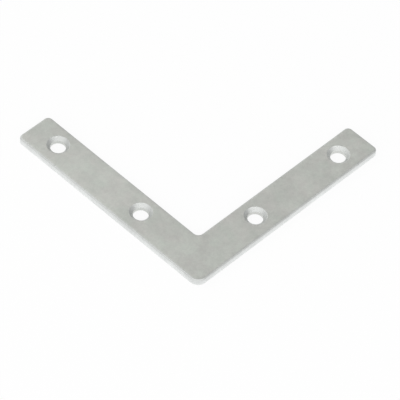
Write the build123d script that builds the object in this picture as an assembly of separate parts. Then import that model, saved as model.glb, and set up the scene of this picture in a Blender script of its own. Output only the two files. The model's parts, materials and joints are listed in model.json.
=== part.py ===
from build123d import *
import os

# Flat corner brace: one L blanked from steel strip, with countersunk screw holes, then
# zinc plated. It is screwed flat over the corner of a frame or box.
# Frame: the underside lies on Z = 0 and the countersinks open upwards. The lines of holes
# of the two arms cross at the origin. One arm runs along +X and the other along +Y.

# The L seen from above, in millimetres
arm_length = 76.0
arm_width = 12.5
outer_corner_radius = 3.0
inner_corner_radius = 1.8
arm_end_radius = 1.6

# The strip and its edges: the upper ones are drawn down by the blanking die, and the lower
# ones have their burr tumbled off
thickness = 2.3
rolled_edge_radius = 0.7
lower_edge_break = 0.1

# Screw holes, alike in both arms
holes_per_arm = 2
corner_to_first_hole = 30.4
last_hole_to_arm_end = 10.4
hole_line_shift = 0.4
bore_diameter = 4.8
countersink_diameter = 7.0
countersink_angle = 90.0
countersink_rim_radius = 0.15

# The line of holes lies a little inward of the arm's middle
hole_line = arm_width / 2 + hole_line_shift


def blank():
    """The plain L of the strip's thickness, with its six corners rounded."""
    outer = -hole_line
    inner = outer + arm_width
    end = outer + arm_length
    corners = [
        ((outer, outer), outer_corner_radius),
        ((end, outer), arm_end_radius),
        ((end, inner), arm_end_radius),
        ((inner, inner), inner_corner_radius),
        ((inner, end), arm_end_radius),
        ((outer, end), arm_end_radius),
    ]
    with BuildPart() as strip:
        with BuildSketch():
            with BuildLine():
                FilletPolyline(
                    [point for point, radius in corners],
                    radius=[radius for point, radius in corners],
                    close=True,
                )
            make_face()
        extrude(amount=thickness)
    return strip.part


def hole_centres():
    """Centres of all holes on the top face: each arm's are evenly spaced from first to last."""
    first = corner_to_first_hole - hole_line
    last = arm_length - last_hole_to_arm_end - hole_line
    pitch = (last - first) / (holes_per_arm - 1)
    stations = [first + pitch * number for number in range(holes_per_arm)]
    along_x = [(station, 0, thickness) for station in stations]
    along_y = [(0, station, thickness) for station in stations]
    return along_x + along_y


def corner_brace():
    """The blank with its countersunk holes, and every edge as the press and tumbling leave it."""
    with BuildPart() as brace:
        add(blank())
        with Locations(*hole_centres()):
            CounterSinkHole(
                radius=bore_diameter / 2,
                counter_sink_radius=countersink_diameter / 2,
                counter_sink_angle=countersink_angle,
            )
        underside = brace.faces().sort_by(Axis.Z)[0]
        chamfer(underside.edges(), length=lower_edge_break)
        top = brace.faces().sort_by(Axis.Z)[-1]
        mouths = [wire.edge() for wire in top.inner_wires()]
        fillet(top.outer_wire().edges(), radius=rolled_edge_radius)
        fillet(mouths, radius=countersink_rim_radius)
    return brace.part


os.makedirs("parts", exist_ok=True)
export_step(corner_brace(), "parts/corner_brace.step")
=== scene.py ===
import json
import math

import bpy
from mathutils import Matrix, Vector


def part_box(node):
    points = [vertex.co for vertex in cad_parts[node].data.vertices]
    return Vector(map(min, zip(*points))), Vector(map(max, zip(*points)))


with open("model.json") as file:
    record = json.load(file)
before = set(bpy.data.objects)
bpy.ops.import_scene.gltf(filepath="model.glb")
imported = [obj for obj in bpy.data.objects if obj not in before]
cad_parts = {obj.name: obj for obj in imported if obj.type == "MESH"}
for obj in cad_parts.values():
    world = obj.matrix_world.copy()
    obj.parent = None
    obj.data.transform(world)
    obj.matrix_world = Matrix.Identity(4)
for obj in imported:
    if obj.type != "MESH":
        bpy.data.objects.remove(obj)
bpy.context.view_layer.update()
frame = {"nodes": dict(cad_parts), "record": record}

# The corner brace: one flat L, blanked from mild steel strip and countersunk in the same press.
# It is tumbled with hundreds of others to take the burrs off, then zinc plated in a barrel and
# dipped in a clear passivate. Nothing is added to it, so the solid itself takes the finish.
brace = frame["nodes"]["corner_brace"]

# Sizes in millimetres, as packed. The arms are alike, so those of the X arm hold for both. The
# finish changes at the mouth of a countersink, just outside its rounded rim.
low_corner, high_corner = (corner * 1000 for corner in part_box("corner_brace"))
strip_thickness = high_corner.z - low_corner.z
screw_row = next(mount for mount in frame["record"]["mounts"] if mount["name"] == "arm_x_screws")
middle_of_holes = screw_row["pos_m"][0] * 1000
half_hole_pitch = screw_row["dims"]["spacing_x_mm"] / 2
points = [vertex.co * 1000 for vertex in brace.data.vertices]
inner_edge = max(point.y for point in points if point.x > middle_of_holes)
arm_middle = (low_corner.y + inner_edge) / 2
half_arm_width = (inner_edge - low_corner.y) / 2
countersink_mouth = 3.7
mouth_blend = 0.1


def linear(hex_colour):
    """An sRGB colour such as "b9bcb6" as linear red, green, blue and alpha."""
    channels = [int(hex_colour[i:i + 2], 16) / 255 for i in (0, 2, 4)]
    return [c / 12.92 if c <= 0.04045 else ((c + 0.055) / 1.055) ** 2.4 for c in channels] + [1]


def add_node(tree, kind, inputs=None, **settings):
    """
    Adds a node with its settings and links, and gives its outputs. Each input is given by name or
    number, as a value or as the output that it is linked to.
    """
    node = tree.nodes.new("ShaderNode" + kind)
    for name, value in settings.items():
        setattr(node, name, value)
    for name, value in (inputs or {}).items():
        if isinstance(value, bpy.types.NodeSocket):
            tree.links.new(value, node.inputs[name])
        else:
            node.inputs[name].default_value = value
    return node.outputs


# Barrel-plated zinc on mild steel, clear passivated. The zinc grows as a fine matt crystal, so the
# metal shines only softly, and it clouds where the parts shaded each other in the bath. Tumbling
# leaves small dents and hairline scratches in the flats and burnishes the edges.
zinc_plated_steel = bpy.data.materials.new("zinc_plated_steel")
zinc_plated_steel.use_nodes = True
zinc = zinc_plated_steel.node_tree

# Where a point lies, in millimetres. As the arms are alike, the larger of X and Y runs along the
# arm and the smaller one across it, and one distance serves for the nearest hole of either arm.
coordinates = add_node(zinc, "TexCoord")
place = add_node(
    zinc, "VectorMath", {0: coordinates["Object"], "Scale": 1000}, operation="SCALE"
)["Vector"]
position = add_node(zinc, "SeparateXYZ", {0: place})
along_arm = add_node(zinc, "Math", {0: position["X"], 1: position["Y"]}, operation="MAXIMUM")[0]
across_arm = add_node(zinc, "Math", {0: position["X"], 1: position["Y"]}, operation="MINIMUM")[0]
from_middle = add_node(zinc, "Math", {0: along_arm, 1: middle_of_holes}, operation="SUBTRACT")[0]
from_middle = add_node(zinc, "Math", {0: from_middle}, operation="ABSOLUTE")[0]
from_hole = add_node(zinc, "Math", {0: from_middle, 1: half_hole_pitch}, operation="SUBTRACT")[0]
hole_point = add_node(zinc, "CombineXYZ", {0: from_hole, 1: across_arm})["Vector"]
radius = add_node(zinc, "VectorMath", {0: hole_point}, operation="LENGTH")["Value"]
in_hole = add_node(
    zinc,
    "MapRange",
    {"Value": radius, "From Min": countersink_mouth, "From Max": countersink_mouth - mouth_blend},
    interpolation_type="SMOOTHSTEP",
)["Result"]
outside = add_node(zinc, "Math", {0: 1.0, 1: in_hole}, operation="SUBTRACT")[0]

# Which way it faces, from how upright its normal is: 1 on the flats and 0 on the sheared walls, with
# the rounded edges and the countersinks in between
facing = add_node(zinc, "SeparateXYZ", {0: coordinates["Normal"]})
upright = add_node(zinc, "Math", {0: facing["Z"]}, operation="ABSOLUTE")[0]
flat = add_node(
    zinc,
    "MapRange",
    {"Value": upright, "From Min": 0.90, "From Max": 0.995},
    interpolation_type="SMOOTHSTEP",
)["Result"]
wall = add_node(
    zinc,
    "MapRange",
    {"Value": upright, "From Min": 0.45, "From Max": 0.10},
    interpolation_type="SMOOTHSTEP",
)["Result"]
flat_or_wall = add_node(zinc, "Math", {0: flat, 1: wall}, operation="MAXIMUM")[0]
edge = add_node(zinc, "Math", {0: 1.0, 1: flat_or_wall}, operation="SUBTRACT")[0]
# The rounded edges outside the countersinks: burnished smoother, and darkened a little in the colour as
# painted shade
burnished_edge_and_painted_shade = add_node(zinc, "Math", {0: edge, 1: outside}, operation="MULTIPLY")[0]
countersink = add_node(zinc, "Math", {0: edge, 1: in_hole}, operation="MULTIPLY")[0]
sheared_wall = add_node(zinc, "Math", {0: wall, 1: outside}, operation="MULTIPLY")[0]
bore_wall = add_node(zinc, "Math", {0: wall, 1: in_hole}, operation="MULTIPLY")[0]

# Broad tone over some 28 mm. The noise is read where it leaves one arm a little lighter than the
# other, less its mean value there.
shading_size = 28.0
shading_spot = (14, 334, 367)
shading_mean = 0.56
shading_place = add_node(zinc, "VectorMath", {0: place, 1: shading_spot}, operation="ADD")["Vector"]
shading = add_node(
    zinc, "TexNoise", {"Vector": shading_place, "Scale": 1 / shading_size, "Detail": 1.0}
)["Fac"]
shading = add_node(zinc, "Math", {0: shading, 1: shading_mean}, operation="SUBTRACT")[0]

# Mottle of three sizes, in millimetres: clouds of the plating, blotches of the passivate within
# them, and the grain of the crystal. The real crystal is a few thousandths of a millimetre, far
# too fine to show, so its grain is drawn 0.4 mm across. Each runs from -1 to 1.
mottle = {}
for mark, size, detail, fineness, half_range in (
    ("cloud", 5.0, 3.0, 0.5, 0.15),
    ("blotch", 1.3, 2.0, 0.6, 0.15),
    ("grain", 0.4, 2.0, 0.5, 0.20),
):
    noise = add_node(
        zinc,
        "TexNoise",
        {"Vector": place, "Scale": 1 / size, "Detail": detail, "Roughness": fineness},
    )["Fac"]
    mottle[mark] = add_node(
        zinc,
        "MapRange",
        {"Value": noise, "From Min": 0.5 - half_range, "From Max": 0.5 + half_range, "To Min": -1.0},
        interpolation_type="SMOOTHSTEP",
    )["Result"]
flat_grain = add_node(zinc, "Math", {0: mottle["grain"], 1: flat}, operation="MULTIPLY")[0]

# Tumbling dents: soft round pits 0.5 mm wide at half their depth. Their seeds lie 3 mm apart in
# all directions, so only every third comes near a flat, and the pits are some 5 mm apart there.
seed_spacing = 3.0
dent_radius = 0.51
seeds = add_node(zinc, "TexVoronoi", {"Vector": place, "Scale": 1 / seed_spacing}, feature="F1")
dent = add_node(
    zinc,
    "MapRange",
    {"Value": seeds["Distance"], "From Min": dent_radius / seed_spacing, "From Max": 0.0},
    interpolation_type="SMOOTHSTEP",
)["Result"]
# On the flats the dents are also darkened in the colour, as painted shade in the pits
dent_painted_shade = add_node(zinc, "Math", {0: dent, 1: flat}, operation="MULTIPLY")[0]

# Hairline scratches in the flats, 0.08 mm wide and up to 6 mm long. They run in three directions,
# in degrees, and each set comes in spells some millimetres across.
scratch = 0.0
for angle, spell in ((12, 9.0), (67, 11.0), (141, 8.0)):
    drawn_out = add_node(
        zinc,
        "Mapping",
        {"Vector": place, "Rotation": (0, 0, math.radians(angle)), "Scale": (8.0, 0.35, 1.0)},
        vector_type="TEXTURE",
    )["Vector"]
    lines = add_node(zinc, "TexNoise", {"Vector": drawn_out, "Scale": 1.0, "Detail": 1.0})["Fac"]
    lines = add_node(
        zinc,
        "MapRange",
        {"Value": lines, "From Min": 0.70, "From Max": 0.78},
        interpolation_type="SMOOTHSTEP",
    )["Result"]
    spells = add_node(zinc, "TexNoise", {"Vector": place, "Scale": 1 / spell, "Detail": 2.0})["Fac"]
    spells = add_node(
        zinc,
        "MapRange",
        {"Value": spells, "From Min": 0.48, "From Max": 0.60},
        interpolation_type="SMOOTHSTEP",
    )["Result"]
    lines = add_node(zinc, "Math", {0: lines, 1: spells}, operation="MULTIPLY")[0]
    scratch = add_node(zinc, "Math", {0: lines, 1: scratch}, operation="MAXIMUM")[0]
scratch = add_node(zinc, "Math", {0: scratch, 1: flat}, operation="MULTIPLY")[0]

# Upright streaks that the punch leaves in the walls: noise 0.25 mm across, drawn out to 2.5 mm in
# height, from -1 to 1
drawn_down = add_node(
    zinc, "Mapping", {"Vector": place, "Scale": (0.25, 0.25, 2.5)}, vector_type="TEXTURE"
)["Vector"]
streak = add_node(zinc, "TexNoise", {"Vector": drawn_down, "Scale": 1.0, "Detail": 2.0})["Fac"]
streak = add_node(
    zinc,
    "MapRange",
    {"Value": streak, "From Min": 0.3, "From Max": 0.7, "To Min": -1.0},
    interpolation_type="SMOOTHSTEP",
)["Result"]
streak = add_node(zinc, "Math", {0: streak, 1: wall}, operation="MULTIPLY")[0]

# The rougher band where the steel broke away, below a line that wavers about 0.42 of the
# way up the wall. In the colour it is painted lighter, painted light that makes the wall lighter
# towards its foot.
break_height = low_corner.z + 0.42 * strip_thickness
break_waver = 0.45
break_softness = 0.08
wave_size = 1.8
wave = add_node(zinc, "TexNoise", {"Vector": place, "Scale": 1 / wave_size, "Detail": 2.0})["Fac"]
break_line = add_node(
    zinc,
    "Math",
    {0: wave, 1: 2 * break_waver, 2: break_height - break_waver},
    operation="MULTIPLY_ADD",
)[0]
above_break = add_node(zinc, "Math", {0: position["Z"], 1: break_line}, operation="SUBTRACT")[0]
broken_away_and_painted_light = add_node(
    zinc,
    "MapRange",
    {"Value": above_break, "From Min": break_softness, "From Max": -break_softness},
    interpolation_type="SMOOTHSTEP",
)["Result"]
broken_away_and_painted_light = add_node(zinc, "Math", {0: broken_away_and_painted_light, 1: sheared_wall}, operation="MULTIPLY")[0]

# Rings left by the countersink punch
ring_spacing = 0.16
ring = add_node(zinc, "Math", {0: radius, 1: 2 * math.pi / ring_spacing}, operation="MULTIPLY")[0]
ring = add_node(zinc, "Math", {0: ring}, operation="SINE")[0]
ring = add_node(zinc, "Math", {0: ring, 1: countersink}, operation="MULTIPLY")[0]

# Colour: warm and greenish passivate side by side on the flats, grey zinc on the rounded edges and
# in the countersinks, and on the sheared walls a lighter, whiter colour, partly whiter zinc and partly
# a painted reflection of the bright card that the walls mirror, though less so in the bores
warm_film = linear("cecbc8")
green_film = linear("cad1c9")
grey_edge = linear("cbcdcb")
wall_white_and_painted_light = linear("e3e5e4")
bore_share_of_white_and_painted_light = 0.46
tint_size = 4.0
tint = add_node(zinc, "TexNoise", {"Vector": place, "Scale": 1 / tint_size, "Detail": 3.0})["Fac"]
film = add_node(
    zinc, "Mix", {"Factor": tint, "A": warm_film, "B": green_film}, data_type="RGBA"
)["Result"]
film = add_node(zinc, "Mix", {"Factor": edge, "A": film, "B": grey_edge}, data_type="RGBA")["Result"]
# How much of the whiter colour with its painted reflection each wall takes: all of it on the sheared
# walls, and less in the bores
whiter_and_painted_light = add_node(
    zinc,
    "Math",
    {0: bore_wall, 1: bore_share_of_white_and_painted_light, 2: sheared_wall},
    operation="MULTIPLY_ADD",
)[0]
metal = add_node(zinc, "Mix", {"Factor": whiter_and_painted_light, "A": film, "B": wall_white_and_painted_light}, data_type="RGBA")["Result"]

# How much each mark lightens or darkens the colour, as a share of it
shade = 1.0
for mark, change in (
    (shading, 0.20),
    (mottle["cloud"], 0.030),
    (mottle["blotch"], 0.025),
    (flat_grain, 0.026),
    # Painted shade: the rounded edges are darkened
    (burnished_edge_and_painted_shade, -0.03),
    (streak, 0.03),
    # Painted light: the broken band lightens the lower part of the wall
    (broken_away_and_painted_light, 0.05),
    # Painted shade in the dents
    (dent_painted_shade, -0.03),
    (scratch, 0.05),
):
    shade = add_node(zinc, "Math", {0: mark, 1: change, 2: shade}, operation="MULTIPLY_ADD")[0]
shaded_metal = add_node(zinc, "VectorMath", {0: metal, "Scale": shade}, operation="SCALE")["Vector"]

# Roughness: matt zinc, smoother where it is burnished or scratched, rougher where it broke
roughness = 0.50
for mark, change in (
    (mottle["cloud"], 0.03),
    (mottle["blotch"], 0.02),
    (burnished_edge_and_painted_shade, -0.02),
    (scratch, -0.10),
    (broken_away_and_painted_light, 0.08),
):
    roughness = add_node(zinc, "Math", {0: mark, 1: change, 2: roughness}, operation="MULTIPLY_ADD")[0]

# The press leaves the flats crowned, so that they fall off towards both edges of an arm by the
# fourth power of the way there, and the rolled strip wavers over some 4 mm
crown_power = 4.0
waver_size = 4.0
from_arm_middle = add_node(zinc, "Math", {0: across_arm, 1: arm_middle}, operation="SUBTRACT")[0]
from_arm_middle = add_node(zinc, "Math", {0: from_arm_middle}, operation="ABSOLUTE")[0]
way_to_edge = add_node(zinc, "Math", {0: from_arm_middle, 1: half_arm_width}, operation="DIVIDE")[0]
crown = add_node(zinc, "Math", {0: way_to_edge, 1: crown_power}, operation="POWER")[0]
crown = add_node(zinc, "Math", {0: crown, 1: flat}, operation="MULTIPLY")[0]
waver = add_node(zinc, "TexNoise", {"Vector": place, "Scale": 1 / waver_size, "Detail": 2.0})["Fac"]

# Relief: how high each mark stands, or how deep it goes, in millimetres
relief = 0.0
for mark, height in (
    (crown, -0.06),
    (waver, 0.020),
    (mottle["grain"], 0.0018),
    (dent, -0.010),
    (scratch, -0.004),
    (streak, 0.002),
    (broken_away_and_painted_light, -0.015),
    (ring, 0.0002),
):
    relief = add_node(zinc, "Math", {0: mark, 1: height, 2: relief}, operation="MULTIPLY_ADD")[0]
millimetre = 0.001
bumps = add_node(zinc, "Bump", {"Strength": 1.0, "Distance": millimetre, "Height": relief})["Normal"]

surface = zinc.nodes["Principled BSDF"]
surface.inputs["Metallic"].default_value = 1.0
zinc.links.new(shaded_metal, surface.inputs["Base Color"])
zinc.links.new(roughness, surface.inputs["Roughness"])
zinc.links.new(bumps, surface.inputs["Normal"])
brace.data.materials[0] = zinc_plated_steel

# The floor: a sheet of white photographer's card, a hair below the brace. The camera and the metal
# see it as plain white, but for a part that stays ordinary card and keeps the brace's soft shadow.
# From below it is clear, so that the underside shows.
floor_drop = 0.00005
share_white = 0.9
bpy.ops.mesh.primitive_plane_add(size=6, location=(0, 0, -floor_drop))
floor = bpy.context.object
floor.name = "floor"
white_card = bpy.data.materials.new("white_card")
white_card.use_nodes = True
card = white_card.node_tree
card.nodes.clear()
rays = add_node(card, "LightPath")
seen = add_node(
    card, "Math", {0: rays["Is Camera Ray"], 1: rays["Is Glossy Ray"]}, operation="MAXIMUM"
)[0]
seen = add_node(card, "Math", {0: seen, 1: rays["Is Transmission Ray"]}, operation="MAXIMUM")[0]
whiteness = add_node(card, "Math", {0: seen, 1: share_white}, operation="MULTIPLY")[0]
paper = add_node(card, "BsdfDiffuse", {"Color": linear("f6f6f6")})["BSDF"]
white = add_node(card, "Emission", {"Color": linear("ffffff"), "Strength": 1.0})["Emission"]
upper_face = add_node(card, "MixShader", {0: whiteness, 1: paper, 2: white})["Shader"]
clear = add_node(card, "BsdfTransparent")["BSDF"]
from_below = add_node(card, "NewGeometry")["Backfacing"]
both_faces = add_node(card, "MixShader", {0: from_below, 1: upper_face, 2: clear})["Shader"]
add_node(card, "OutputMaterial", {"Surface": both_faces})
floor.data.materials.append(white_card)

# The studio: an even pale room, and round softboxes about a metre across that stand well back from
# the brace, the strongest on the camera's side. Each is placed by its turn from there to the right.
room = bpy.data.worlds.new("room")
bpy.context.scene.world = room
room.use_nodes = True
room_light = room.node_tree.nodes["Background"]
room_light.inputs["Color"].default_value = linear("ffffff")
room_light.inputs["Strength"].default_value = 0.65
camera_azimuth = -48.32


def direction(azimuth, elevation):
    """The unit vector out from the brace. Azimuth 0 is the side towards -Y, and 90 towards +X."""
    side = math.radians(azimuth)
    rise = math.radians(elevation)
    return Vector((
        math.sin(side) * math.cos(rise),
        -math.cos(side) * math.cos(rise),
        math.sin(rise),
    ))


def softbox(name, turn, elevation, watts, size=1.3):
    """A round lamp of a size in metres, aimed at the middle between the arms."""
    between_arms = Vector((0.03, 0.03, 0.0))
    distance = 1.3
    outwards = direction(camera_azimuth + turn, elevation)
    lamp = bpy.data.lights.new(name, "AREA")
    lamp.shape = "DISK"
    lamp.size = size
    lamp.energy = watts
    holder = bpy.data.objects.new(name, lamp)
    bpy.context.scene.collection.objects.link(holder)
    facing_brace = outwards.to_track_quat("Z", "Y").to_matrix().to_4x4()
    holder.matrix_world = Matrix.Translation(between_arms + outwards * distance) @ facing_brace


softbox("front_light", turn=0, elevation=28, watts=3.5)
softbox("right_light", turn=45, elevation=28, watts=3.4)
softbox("left_light", turn=-45, elevation=28, watts=3.2)
softbox("left_side_light", turn=-90, elevation=28, watts=1.1)
softbox("back_light", turn=-135, elevation=28, watts=2.1)
softbox("high_light", turn=-135, elevation=50, watts=1.1, size=0.8)

# The camera: a long lens, held a little askew, so that it is turned about its own axis. It looks
# down on the brace from outside the corner, with the arms running away to both sides.
camera_elevation = 49.73
camera_roll = math.radians(4.5)
camera_distance = 1.0278
aim = Vector((0.01739, 0.01655, 0.0))
back = direction(camera_azimuth, camera_elevation)
right = direction(camera_azimuth + 90, 0)
up = back.cross(right)
rolled_right = right * math.cos(camera_roll) + up * math.sin(camera_roll)
rolled_up = up * math.cos(camera_roll) - right * math.sin(camera_roll)
camera = bpy.data.objects.new("camera", bpy.data.cameras.new("camera"))
bpy.context.scene.collection.objects.link(camera)
camera.data.sensor_width = 36
camera.data.lens = 314.2
turned = Matrix((rolled_right, rolled_up, back)).transposed().to_4x4()
camera.matrix_world = Matrix.Translation(aim + back * camera_distance) @ turned
bpy.context.scene.camera = camera
bpy.context.scene.view_settings.view_transform = "Standard"
